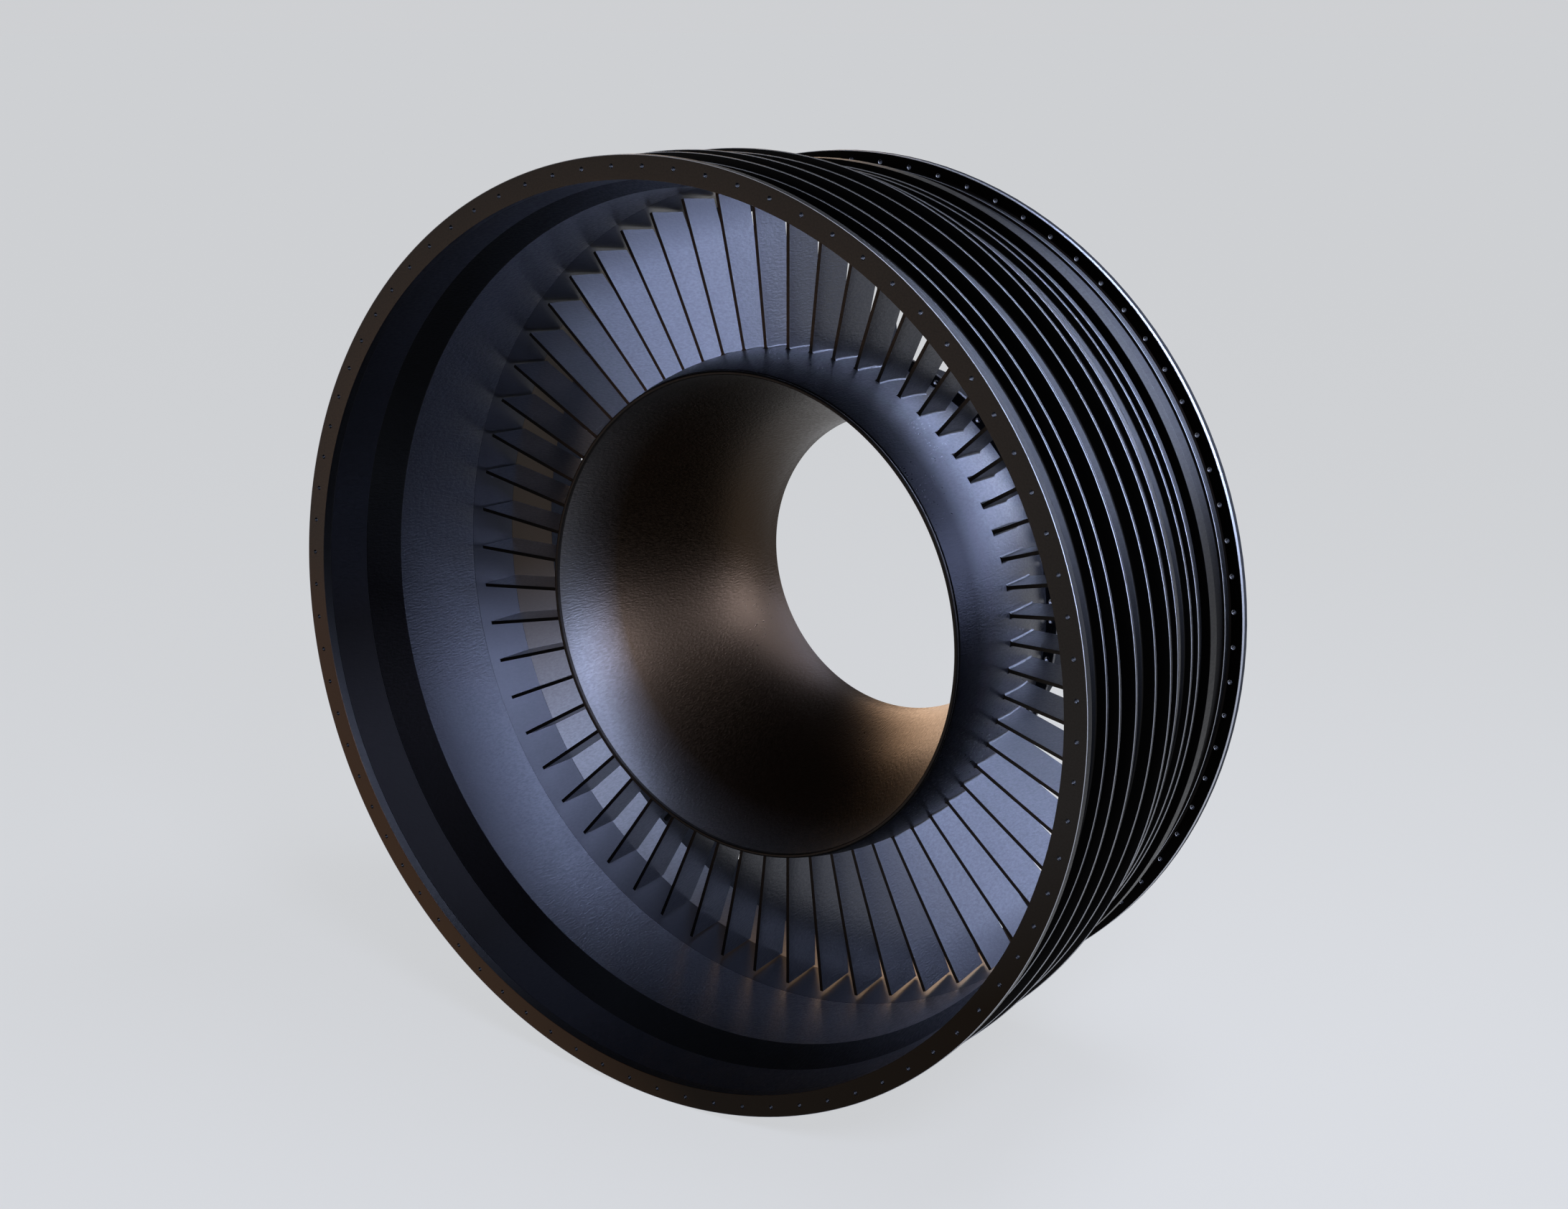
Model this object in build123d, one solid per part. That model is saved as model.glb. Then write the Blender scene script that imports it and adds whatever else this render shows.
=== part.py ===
"""Front module of a jet engine: a ribbed case with lined duct, and a bladed wheel on a roller bearing.

The engine axis is Y, the inlet faces -Y and +Z is up. The origin is the centre of the front flange face.
Lengths are millimetres. A half section is a list of (radius, axial place) points, turned about Y.
"""
import math
import os

from build123d import *

os.makedirs("parts", exist_ok=True)

# Front flange and duct
inlet_radius = 571.0
flange_width = 29.0
flange_thickness = 14.0
flange_rounding = 5.0
land_length = 79.0
land_taper = 2.0
ramp_length = 52.5
ramp_drop = 14.0
duct_length = 147.5
tip_zone_length = 76.0
tip_zone_drop = 7.5
case_length = 443.5

# Case wall, ribs and rear flange
case_wall = 4.0
rear_case_wall = 5.5
front_liner_wall = 4.0
duct_liner_wall = 15.0
shroud_wall = 6.0
liner_gap = 0.1
shoulder_lead = 15.0
shoulder_length = 29.0
rib_tip_width = 4.0
rib_foot_width = 5.5
rib_chamfer = 0.8
rear_flange_width = 36.5
rear_flange_thickness = 6.0
rear_fillet = 2.0
rear_land_height = 12.0
rear_land_width = 27.0
rear_land_setback = 60.0
# Each rib is its place behind the front face and its height over the case wall
front_ribs = ((61.5, 13.0), (79.0, 20.0), (117.0, 21.0), (175.0, 16.0), (209.0, 18.5), (250.5, 8.0))
# Each rear rib is its place ahead of the rear face and its height over the case wall
rear_ribs = ((132.0, 9.0), (110.5, 8.0), (24.5, 3.5))

# Flange holes
flange_hole_count = 80
flange_hole_radius = 2.65
flange_edge_distance = 13.0
rear_edge_distance = 11.5

# Bladed wheel
hub_radius = 339.0
hub_front_drop = 15.5
hub_wall = 6.0
hub_lip_wall = 2.5
hub_front_length = 107.0
hub_rear_length = 109.0
blade_count = 60
blade_thickness = 5.0
blade_chord = 64.0
blade_camber = 0.5
blade_front_setback = 14.0
blade_crown_setback = 12.0
blade_foot_flare = 2.4
blade_foot_height = 2.5
blade_seat_gap = 0.02
tip_gap_front = 4.2
tip_gap_rear = 2.5
balance_flange_width = 15.6
balance_flange_thickness = 6.0
balance_hole_radius = 3.3
balance_edge_distance = 8.5
collar_thickness = 5.0
collar_place = 125.0
collar_width = 30.0
inner_flange_width = 44.0
inner_flange_thickness = 8.0

# Hub bowl
bowl_sheet = 3.5
bowl_gap = 0.2
bowl_lip_radius = 2.8
bowl_narrowing = 124.5
bowl_tail_length = 151.0
bowl_front_reach = 150.0
bowl_rear_reach = 120.0
bowl_front_lean = 10.0
bowl_throat_length = 22.0
bowl_collar_thickness = 8.0
bowl_collar_gap = 0.3
bowl_screw_count = 24

# Stub shaft
shaft_flange_width = 30.0
shaft_flange_thickness = 8.0
shaft_cone_clearance = 3.0
shaft_wall = 13.0
shaft_relief = 6.0
shaft_land_length = 14.0
shaft_cone_wall = 8.0
shaft_shoulder = 4.0
shaft_bolt_count = 24
shaft_end_clearance = 2.0
drive_hole_count = 24
drive_hole_radius = 2.5
drive_hole_depth = 15.0

# Roller bearing
race_wall = 9.0
race_width = 30.0
race_fit = 0.02
roller_diameter = 14.0
roller_length = 20.0
roller_count = 60
roller_clearance = 0.03
cage_wall = 6.0
cage_width = 26.0
pocket_clearance = 0.3
bearing_place = 24.0

# Bearing housing, cover, seal and nut
housing_wall = 8.0
housing_flange_width = 16.0
housing_flange_thickness = 8.0
housing_shoulder = 6.0
cover_thickness = 6.0
cover_bore_gap = 3.0
nut_height = 8.0
nut_thickness = 12.0
nut_slot_count = 8
nut_slot_width = 9.0
nut_slot_depth = 3.5
washer_thickness = 2.0
seal_gap = 0.5
seal_groove = 1.5
housing_screw_count = 20

# Exit frame
frame_flange_thickness = 8.0
frame_skirt_length = 32.0
frame_skirt_drop = 18.0
frame_skirt_wall = 6.0
strut_count = 10
strut_thickness = 9.0
strut_rounding = 4.0
frame_ring_wall = 16.0
frame_ring_gap = 0.1
frame_screw_count = 20
frame_screw_inset = 5.5

# Fasteners
screw_radius = 2.5
screw_head_radius = 4.5
screw_head_height = 5.0
screw_hole_gap = 0.2
screw_key_radius = 2.3
screw_key_depth = 2.5
nut_radius = 4.6
nut_wall_height = 4.5

# Axial places worked out from the lengths
land_end = land_length
ramp_end = land_end + ramp_length
duct_end = ramp_end + duct_length
tip_zone_end = duct_end + tip_zone_length
blade_front = duct_end + blade_front_setback
blade_rear = blade_front + blade_chord
hub_crown = blade_front + blade_crown_setback
hub_front = hub_crown - hub_front_length
hub_rear = hub_crown + hub_rear_length
wheel_rear = hub_rear + balance_flange_thickness
shaft_front = wheel_rear
bowl_rear = wheel_rear + bowl_tail_length - 4.0
shaft_rear = bowl_rear + shaft_end_clearance
race_rear = shaft_rear - bearing_place
race_front = race_rear - race_width

# Radii worked out from the radial sizes
flange_radius = inlet_radius + flange_width
flange_hole_circle = flange_radius - flange_edge_distance
duct_radius = inlet_radius - land_taper - ramp_drop
exit_radius = duct_radius - tip_zone_drop
front_bore = inlet_radius + front_liner_wall
duct_bore = duct_radius + duct_liner_wall
rear_bore = duct_radius + shroud_wall
front_barrel = front_bore + case_wall
rear_barrel = rear_bore + rear_case_wall
shoulder_front = duct_end - shoulder_lead
shoulder_rear = shoulder_front + shoulder_length
rear_flange_radius = exit_radius + rear_flange_width
rear_hole_circle = rear_flange_radius - rear_edge_distance
bowl_throat_radius = hub_radius - bowl_narrowing
arc_radius = (hub_front_length ** 2 + hub_front_drop ** 2) / (2 * hub_front_drop)
shaft_bore = bowl_throat_radius + bowl_sheet + shaft_relief
journal_radius = shaft_bore + shaft_wall
raceway_inner = journal_radius + race_wall
pitch_radius = raceway_inner + roller_diameter / 2
raceway_outer = raceway_inner + roller_diameter
race_outer = raceway_outer + race_wall
housing_outer = race_outer + housing_wall
frame_ring_outer = housing_outer + frame_ring_wall
half_pitch = 360 / flange_hole_count / 2


def turned(points):
    """A ring turned about the engine axis from a closed half section of straight sides."""
    return revolve(make_face(Polyline(*points, close=True)), Axis.Y)


def around(count, start=0.0):
    """Turns about the engine axis that spread a feature evenly, the first one start degrees from the top."""
    return [Rot(0, start + 360 * i / count, 0) for i in range(count)]


def rod(radius, circle, front, rear):
    """A round bar along the engine axis, standing at the top of a circle."""
    bar = Cylinder(radius, rear - front, align=(Align.CENTER, Align.CENTER, Align.MIN))
    return Pos(0, front, circle) * Rot(-90, 0, 0) * bar


def rods(radius, circle, front, rear, count, start=0.0):
    """Round bars on a circle about the engine axis, as one cutter or one group."""
    return [turn * rod(radius, circle, front, rear) for turn in around(count, start)]


def hub_surface(place):
    """Radius of the hub's outer surface, an arc whose crown lies under the blades."""
    return hub_radius - arc_radius + math.sqrt(arc_radius ** 2 - (place - hub_crown) ** 2)


def duct_surface(place):
    """Radius of the duct wall along the tip zone, and ahead of it and behind it."""
    share = (place - duct_end) / tip_zone_length
    return duct_radius - tip_zone_drop * min(max(share, 0.0), 1.0)


def rib(place, height, foot):
    """Outline of one thin circumferential rib with a bevelled rim, standing on the case wall at radius foot."""
    tip = foot + height
    half_tip = rib_tip_width / 2
    half_foot = rib_foot_width / 2
    return [
        (foot, place - half_foot),
        (tip - rib_chamfer, place - half_tip),
        (tip, place - half_tip + rib_chamfer),
        (tip, place + half_tip - rib_chamfer),
        (tip - rib_chamfer, place + half_tip),
        (foot, place + half_foot),
    ]


def screw(front, rear, circle, turn):
    """A socket-head screw whose head lies behind its shank, pointing forward."""
    shank = rod(screw_radius, circle, front, rear)
    head = rod(screw_head_radius, circle, rear, rear + screw_head_height)
    key = rod(screw_key_radius, circle, rear + screw_head_height - screw_key_depth, rear + screw_head_height + 1)
    return turn * (shank + head - key)


def outer_case():
    """The ribbed case with its front and rear flanges, turned in one piece and drilled."""
    flange_back = flange_thickness - flange_rounding
    front_half = [
        (inlet_radius, flange_thickness),
        (inlet_radius, 0),
        (flange_radius - rib_chamfer, 0),
        (flange_radius, rib_chamfer),
        (flange_radius, flange_back),
        (flange_radius - flange_rounding * 0.3, flange_thickness - flange_rounding * 0.3),
        (flange_radius - flange_rounding, flange_thickness),
        (front_barrel + flange_rounding, flange_thickness),
        (front_barrel, flange_thickness + flange_rounding),
    ]
    for place, height in front_ribs:
        front_half += rib(place, height, front_barrel)
    front_half.append((front_barrel, shoulder_front))

    rear_face_front = case_length - rear_flange_thickness
    land_rear = case_length - rear_land_setback
    land_front = land_rear - rear_land_width
    land_radius = rear_barrel + rear_land_height
    rear_half = [(rear_barrel, shoulder_rear)]
    for setback, height in rear_ribs[:2]:
        rear_half += rib(case_length - setback, height, rear_barrel)
    rear_half += [
        (rear_barrel, land_front),
        (land_radius - rib_chamfer, land_front),
        (land_radius, land_front + rib_chamfer),
        (land_radius - rib_chamfer, land_rear - rear_land_width / 3),
        (rear_barrel, land_rear),
    ]
    rear_half += rib(case_length - rear_ribs[2][0], rear_ribs[2][1], rear_barrel)
    rear_half += [
        (rear_barrel, rear_face_front - rear_fillet),
        (rear_barrel + rear_fillet, rear_face_front),
        (rear_flange_radius - rib_chamfer, rear_face_front),
        (rear_flange_radius, rear_face_front + rib_chamfer),
        (rear_flange_radius, case_length - rib_chamfer),
        (rear_flange_radius - rib_chamfer, case_length),
        (rear_bore, case_length),
        (rear_bore, duct_end),
        (duct_bore, duct_end),
        (duct_bore, ramp_end),
        (front_bore, ramp_end),
        (front_bore, flange_thickness),
        (inlet_radius, flange_thickness),
    ]
    drop = front_barrel - rear_barrel
    bend = (shoulder_length ** 2 + drop ** 2) / (2 * drop)
    half_way = shoulder_length / 2
    sagged = (front_barrel - bend + math.sqrt(bend ** 2 - half_way ** 2), shoulder_front + half_way)
    shoulder = ThreePointArc(front_half[-1], sagged, rear_half[0])
    body = revolve(make_face([Polyline(*front_half), shoulder, Polyline(*rear_half)]), Axis.Y)
    body -= rods(flange_hole_radius, flange_hole_circle, -1, flange_thickness + 1, flange_hole_count)
    body -= rods(flange_hole_radius, rear_hole_circle, rear_face_front - 1, case_length + 1, flange_hole_count)
    tapped = rods(screw_radius + screw_hole_gap, frame_screw_circle(), rear_face_front + 1, case_length + 1,
                  frame_screw_count, half_pitch)
    return body - tapped


def frame_screw_circle():
    """Circle of the screws that locate the exit frame on the case, inside the ring of flange holes."""
    return rear_hole_circle - frame_screw_inset


def liner(front, front_radius, rear, rear_radius, seat):
    """One lining ring of the duct, seated in the case's bore of radius seat."""
    return turned([
        (front_radius, front),
        (seat - liner_gap, front),
        (seat - liner_gap, rear),
        (rear_radius, rear),
    ])


def blade():
    """One cambered sheet blade at the top of the wheel, with a flared foot that fits the hub's surface."""
    def section(thickness, overhang):
        half = thickness / 2
        front, middle, rear = blade_front - overhang, (blade_front + blade_rear) / 2, blade_rear + overhang
        inner = ThreePointArc((-half, front), (blade_camber - half, middle), (-half, rear))
        outer = ThreePointArc((half, front), (blade_camber + half, middle), (half, rear))
        return make_face([inner, Line((-half, rear), (half, rear)), outer, Line((half, front), (-half, front))])

    foot_low = hub_radius - hub_wall
    foot_high = hub_radius + blade_foot_height
    foot = loft([
        Pos(0, 0, foot_low) * section(blade_thickness + 2 * blade_foot_flare, 0.0),
        Pos(0, 0, foot_high) * section(blade_thickness, 0.0),
    ], ruled=True)
    span = extrude(Pos(0, 0, foot_low) * section(blade_thickness, 0.0), amount=duct_radius - foot_low)
    front, rear, middle = blade_front - 1, blade_rear + 1, (blade_front + blade_rear) / 2
    seat = [(hub_surface(place) + blade_seat_gap, place) for place in (front, middle, rear)]
    tip = Polyline(seat[2], (duct_surface(blade_rear) - tip_gap_rear, rear),
                   (duct_surface(blade_front) - tip_gap_front, front), seat[0])
    return (foot + span) & revolve(make_face([ThreePointArc(*seat), tip]), Axis.Y)


def blade_row():
    """The ring of equal blades, each one welded to the drum at its foot."""
    one = blade()
    return [turn * one for turn in around(blade_count)]


def hub_drum():
    """The wheel's barrel-shaped drum, with its rear flanges and its inner collar."""
    middle = (hub_front + hub_rear) / 2
    front_edge = (hub_surface(hub_front), hub_front)
    rear_edge = (hub_surface(hub_rear), hub_rear)
    crown = (hub_surface(middle), middle)
    balance_radius = hub_surface(hub_rear) + balance_flange_width
    inner_front = (hub_surface(hub_front) - hub_lip_wall, hub_front)
    inner_rear = (hub_surface(hub_rear) - hub_wall, wheel_rear - inner_flange_thickness)
    inner_crown = (hub_surface(middle) - hub_wall, middle)
    flange_foot = hub_surface(hub_rear) - inner_flange_width
    outline = [
        ThreePointArc(front_edge, crown, rear_edge),
        Polyline(rear_edge, (balance_radius, hub_rear), (balance_radius, wheel_rear), (flange_foot, wheel_rear),
                 (flange_foot, wheel_rear - inner_flange_thickness), inner_rear),
        ThreePointArc(inner_rear, inner_crown, inner_front),
        Line(inner_front, front_edge),
    ]
    drum = revolve(make_face(outline), Axis.Y)
    collar_front = hub_front + collar_place
    collar_foot = hub_surface(collar_front) - hub_wall / 2
    drum += turned([
        (collar_foot - collar_width, collar_front),
        (collar_foot, collar_front),
        (collar_foot, collar_front + collar_thickness),
        (collar_foot - collar_width, collar_front + collar_thickness),
    ])
    drum -= rods(balance_hole_radius, balance_radius - balance_edge_distance, hub_rear - 1, wheel_rear + 1,
                 flange_hole_count)
    drum -= rods(screw_radius + screw_hole_gap, bowl_screw_circle(), collar_front - 1,
                 collar_front + collar_thickness + 1, bowl_screw_count)
    return drum - rods(screw_radius + screw_hole_gap, shaft_bolt_circle(), wheel_rear - inner_flange_thickness - 1,
                       wheel_rear + 1, shaft_bolt_count)


def bowl_curve(offset):
    """The bowl's wall line, from the lip to the straight throat, moved outward by offset."""
    front = hub_surface(hub_front) - hub_lip_wall - bowl_gap - bowl_sheet
    throat_front = bowl_rear - bowl_throat_length
    return Bezier(
        (front + offset, hub_front),
        (front - bowl_front_lean + offset, hub_front + bowl_front_reach),
        (bowl_throat_radius + offset, throat_front - bowl_rear_reach),
        (bowl_throat_radius + offset, throat_front),
    )


def bowl_radius(place):
    """Outer radius of the bowl at an axial place ahead of its throat."""
    curve = bowl_curve(bowl_sheet)
    low, high = 0.0, 1.0
    for _ in range(30):
        half = (low + high) / 2
        if (curve @ half).Y < place:
            low = half
        else:
            high = half
    return (curve @ low).X


def bowl_screw_circle():
    """Circle of the screws that hold the bowl's collar to the wheel's collar."""
    collar_front = hub_front + collar_place
    return hub_surface(collar_front) - hub_wall / 2 - collar_width + screw_head_radius + 2.5


def shaft_bolt_circle():
    """Circle of the bolts that hold the stub shaft to the wheel's inner flange."""
    return hub_surface(hub_rear) - inner_flange_width + shaft_flange_width / 2


def hub_bowl():
    """The thin spun bowl inside the hub, with a rolled lip, a collar and an open throat."""
    inner = bowl_curve(0.0)
    outer = bowl_curve(bowl_sheet)
    throat = Polyline(inner @ 1, (bowl_throat_radius, bowl_rear), (bowl_throat_radius + bowl_sheet, bowl_rear),
                      outer @ 1)
    skin = revolve(make_face([inner, throat, outer, Line(outer @ 0, inner @ 0)]), Axis.Y)
    lip_centre = (inner @ 0).X + bowl_lip_radius - 0.2
    bead = Pos(lip_centre, hub_front - bowl_gap - bowl_lip_radius) * Circle(bowl_lip_radius)
    neck = turned([
        ((inner @ 0).X, hub_front - bowl_gap - bowl_lip_radius),
        ((outer @ 0).X, hub_front - bowl_gap - bowl_lip_radius),
        ((outer @ 0).X, hub_front),
        ((inner @ 0).X, hub_front),
    ])
    collar_rear = hub_front + collar_place - bowl_collar_gap
    collar_front = collar_rear - bowl_collar_thickness
    collar_rim = hub_surface(hub_front) - hub_lip_wall - 1.0
    collar = turned([
        (bowl_radius(collar_front) - bowl_sheet / 2, collar_front),
        (collar_rim, collar_front),
        (collar_rim, collar_rear),
        (bowl_radius(collar_rear) - bowl_sheet / 2, collar_rear),
    ])
    body = skin + revolve(bead, Axis.Y) + neck + collar
    return body - rods(screw_radius + 0.02, bowl_screw_circle(), collar_front + 1, collar_rear + 1, bowl_screw_count)


def stub_shaft():
    """The hollow shaft: a bolted flange, a cone and a journal tube, with a land that steadies the bowl."""
    flange_foot = hub_surface(hub_rear) - inner_flange_width
    cone_rear = race_front - shaft_cone_clearance
    land_radius = bowl_throat_radius + bowl_sheet + liner_gap
    body = turned([
        (flange_foot, shaft_front),
        (flange_foot + shaft_flange_width, shaft_front),
        (flange_foot + shaft_flange_width, shaft_front + shaft_flange_thickness),
        (flange_foot + shaft_cone_wall, shaft_front + shaft_flange_thickness),
        (journal_radius + shaft_shoulder, cone_rear - shaft_cone_wall),
        (journal_radius + shaft_shoulder, race_front),
        (journal_radius, race_front),
        (journal_radius, shaft_rear),
        (land_radius, shaft_rear),
        (land_radius, shaft_rear - shaft_land_length),
        (shaft_bore, shaft_rear - shaft_land_length - shaft_relief),
        (shaft_bore, cone_rear),
        (flange_foot, shaft_front + shaft_flange_thickness),
    ])
    body -= rods(drive_hole_radius, (journal_radius + land_radius) / 2, shaft_rear - drive_hole_depth, shaft_rear + 1,
                 drive_hole_count)
    return body - rods(screw_radius + screw_hole_gap, shaft_bolt_circle(), shaft_front - 1,
                       shaft_front + shaft_flange_thickness + 1, shaft_bolt_count)


def race(inner_radius, outer_radius):
    """A plain race ring with bevelled corners."""
    return turned([
        (inner_radius, race_front + rib_chamfer),
        (inner_radius + rib_chamfer, race_front),
        (outer_radius - rib_chamfer, race_front),
        (outer_radius, race_front + rib_chamfer),
        (outer_radius, race_rear - rib_chamfer),
        (outer_radius - rib_chamfer, race_rear),
        (inner_radius + rib_chamfer, race_rear),
        (inner_radius, race_rear - rib_chamfer),
    ])


def bearing_rollers():
    """Cylindrical rollers, each in its own pocket of the cage."""
    middle = (race_front + race_rear) / 2
    radius = roller_diameter / 2 - roller_clearance
    return rods(radius, pitch_radius, middle - roller_length / 2, middle + roller_length / 2, roller_count)


def bearing_cage():
    """The cage ring, with one pocket for each roller."""
    middle = (race_front + race_rear) / 2
    ring = turned([
        (pitch_radius - cage_wall / 2, middle - cage_width / 2),
        (pitch_radius + cage_wall / 2, middle - cage_width / 2),
        (pitch_radius + cage_wall / 2, middle + cage_width / 2),
        (pitch_radius - cage_wall / 2, middle + cage_width / 2),
    ])
    pocket = roller_length / 2 + pocket_clearance
    return ring - rods(roller_diameter / 2 + pocket_clearance, pitch_radius, middle - pocket, middle + pocket,
                       roller_count)


def bearing_housing():
    """The sleeve that holds the outer race, with a front shoulder, a seal seat and a rear flange."""
    flange_rear = race_rear + housing_flange_thickness
    front = race_front - housing_shoulder
    seat = journal_radius + shaft_shoulder + seal_gap + seal_height() + liner_gap
    body = turned([
        (seat, front),
        (housing_outer, front),
        (housing_outer, race_rear),
        (housing_outer + housing_flange_width, race_rear),
        (housing_outer + housing_flange_width, flange_rear),
        (race_outer + race_fit, flange_rear),
        (race_outer + race_fit, race_front),
        (seat, race_front),
    ])
    return body - rods(screw_radius + screw_hole_gap, housing_screw_circle(), race_rear - 1, flange_rear + 1,
                       housing_screw_count, half_pitch)


def seal_height():
    """Radial height of the seal ring between the shaft's shoulder and the housing."""
    return (raceway_inner - journal_radius - shaft_shoulder) + roller_diameter / 4


def labyrinth_seal():
    """The static seal ring, with grooves facing the shaft's shoulder."""
    inner = journal_radius + shaft_shoulder + seal_gap
    outer = inner + seal_height()
    front = race_front - housing_shoulder
    tooth = housing_shoulder / 5
    return turned([
        (inner, front),
        (outer, front),
        (outer, race_front - 1.0),
        (inner, race_front - 1.0),
        (inner, front + 3 * tooth),
        (inner + seal_groove, front + 3 * tooth),
        (inner + seal_groove, front + 2 * tooth),
        (inner, front + 2 * tooth),
    ])


def housing_screw_circle():
    """Circle of the screws that pass the cover and the housing into the exit frame."""
    return housing_outer + housing_flange_width / 2


def bearing_cover():
    """The rear cover, whose spigot holds the outer race against its shoulder."""
    flange_rear = race_rear + housing_flange_thickness
    bore = journal_radius + nut_height + cover_bore_gap
    spigot = raceway_outer + race_wall / 3
    body = turned([
        (bore, flange_rear),
        (spigot, flange_rear),
        (spigot, race_rear),
        (race_outer - liner_gap, race_rear),
        (race_outer - liner_gap, flange_rear),
        (housing_outer + housing_flange_width, flange_rear),
        (housing_outer + housing_flange_width, flange_rear + cover_thickness - rib_chamfer),
        (housing_outer + housing_flange_width - rib_chamfer, flange_rear + cover_thickness),
        (bore, flange_rear + cover_thickness),
    ])
    return body - rods(screw_radius + screw_hole_gap, housing_screw_circle(), flange_rear - 1,
                       flange_rear + cover_thickness + 1, housing_screw_count, half_pitch)


def nut_washer():
    """The thin locking washer between the inner race and the shaft nut."""
    return turned([
        (journal_radius + race_fit, race_rear),
        (journal_radius + nut_height, race_rear),
        (journal_radius + nut_height, race_rear + washer_thickness),
        (journal_radius + race_fit, race_rear + washer_thickness),
    ])


def shaft_nut():
    """The ring nut that clamps the inner race, with spanner slots in its rim."""
    front = race_rear + washer_thickness
    rear = front + nut_thickness
    outer = journal_radius + nut_height
    ring = turned([
        (journal_radius + race_fit, front),
        (outer, front),
        (outer, rear - rib_chamfer),
        (outer - rib_chamfer, rear),
        (journal_radius + race_fit, rear),
    ])
    slot = Pos(0, (front + rear) / 2, outer) * Box(nut_slot_width, nut_thickness + 2, 2 * nut_slot_depth)
    return ring - [turn * slot for turn in around(nut_slot_count)]


def frame_skirt_foot():
    """Radius and place of the rear end of the exit frame's conical skirt."""
    return exit_radius - frame_skirt_drop, case_length + frame_flange_thickness + frame_skirt_length


def strut():
    """One swept strut at the top, from the skirt to the ring round the bearing housing."""
    ring_middle = frame_ring_outer - frame_ring_wall / 2
    skirt_radius, skirt_rear = frame_skirt_foot()
    skirt_middle = skirt_radius + frame_skirt_wall / 2
    outline = Polyline(
        (exit_radius + frame_skirt_wall / 2, case_length + 2),
        (skirt_middle, skirt_rear - 1),
        (ring_middle, race_rear - 2),
        (ring_middle, race_front - housing_shoulder + 2),
        close=True,
    )
    side = Plane(origin=(0, 0, 0), x_dir=(0, 0, 1), z_dir=(-1, 0, 0))
    plate = extrude(side * make_face(outline), amount=strut_thickness / 2, both=True)
    long_edges = plate.edges().filter_by(lambda edge: edge.length > frame_ring_outer / 2)
    return fillet(long_edges, strut_rounding)


def exit_frame():
    """The rear frame: a flange on the case, a conical skirt, swept struts and the ring round the housing."""
    flange_rear = case_length + frame_flange_thickness
    skirt_radius, skirt_rear = frame_skirt_foot()
    body = turned([
        (exit_radius, case_length),
        (rear_flange_radius, case_length),
        (rear_flange_radius, flange_rear - rib_chamfer),
        (rear_flange_radius - rib_chamfer, flange_rear),
        (exit_radius + frame_skirt_wall, flange_rear),
        (skirt_radius + frame_skirt_wall, skirt_rear),
        (skirt_radius, skirt_rear),
    ])
    ring = turned([
        (housing_outer + frame_ring_gap, race_front - housing_shoulder),
        (frame_ring_outer, race_front - housing_shoulder),
        (frame_ring_outer, race_rear),
        (housing_outer + frame_ring_gap, race_rear),
    ])
    body += [turn * strut() for turn in around(strut_count, half_pitch)]
    body += ring
    body -= turned([
        (0, race_front - housing_shoulder - 1),
        (housing_outer + frame_ring_gap, race_front - housing_shoulder - 1),
        (housing_outer + frame_ring_gap, race_rear + 1),
        (0, race_rear + 1),
    ])
    body -= rods(flange_hole_radius, rear_hole_circle, case_length - 1, flange_rear + 1, flange_hole_count)
    seat = rods(screw_radius + screw_hole_gap, frame_screw_circle(), case_length - 1, flange_rear + 1,
                frame_screw_count, half_pitch)
    tapped = rods(screw_radius + 0.02, housing_screw_circle(), race_front - housing_shoulder + 8, race_rear + 1,
                  housing_screw_count, half_pitch)
    return body - seat - tapped


def screws(front, rear, circle, count, start=0.0):
    """A ring of equal socket-head screws."""
    return [screw(front, rear, circle, turn) for turn in around(count, start)]


def shaft_nuts():
    """Hexagon nuts on the shaft bolts, on the front of the wheel's inner flange."""
    front = wheel_rear - inner_flange_thickness
    base = Plane(origin=(0, front, shaft_bolt_circle()), x_dir=(1, 0, 0), z_dir=(0, -1, 0))
    face = RegularPolygon(nut_radius, 6) - Circle(screw_radius + 0.02)
    nut = extrude(base * face, amount=nut_wall_height)
    return [turn * nut for turn in around(shaft_bolt_count)]


def save(name, shape):
    """Writes one piece, or a group of equal pieces, to its own file."""
    if isinstance(shape, list):
        shape = Compound(children=shape)
    export_step(shape, f"parts/{name}.step")


cover_rear = race_rear + housing_flange_thickness + cover_thickness
collar_front_place = hub_front + collar_place

save("outer_case", outer_case())
save("inlet_liner", liner(flange_thickness, inlet_radius, land_end, inlet_radius - land_taper, front_bore))
save("ramp_ring", liner(land_end, inlet_radius - land_taper, ramp_end, duct_radius, front_bore))
save("duct_liner", liner(ramp_end, duct_radius, duct_end, duct_radius, duct_bore))
save("tip_shroud", liner(duct_end, duct_radius, tip_zone_end, exit_radius, rear_bore))
save("exit_liner", liner(tip_zone_end, exit_radius, case_length, exit_radius, rear_bore))
save("exit_frame", exit_frame())
save("frame_screws", screws(case_length - rear_flange_thickness + 1.5, case_length + frame_flange_thickness,
                            frame_screw_circle(), frame_screw_count, half_pitch))
save("bearing_housing", bearing_housing())
save("bearing_cover", bearing_cover())
save("housing_screws", screws(race_front - housing_shoulder + 9, cover_rear, housing_screw_circle(),
                              housing_screw_count, half_pitch))
save("labyrinth_seal", labyrinth_seal())
save("bearing_outer_race", race(raceway_outer, race_outer))
save("bearing_inner_race", race(journal_radius + race_fit, raceway_inner))
save("bearing_rollers", bearing_rollers())
save("bearing_cage", bearing_cage())
save("hub_drum", hub_drum())
save("blade_row", blade_row())
save("hub_bowl", hub_bowl())
save("bowl_screws", screws(collar_front_place - bowl_collar_gap - bowl_collar_thickness + 2,
                           collar_front_place + collar_thickness, bowl_screw_circle(), bowl_screw_count))
save("stub_shaft", stub_shaft())
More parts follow.
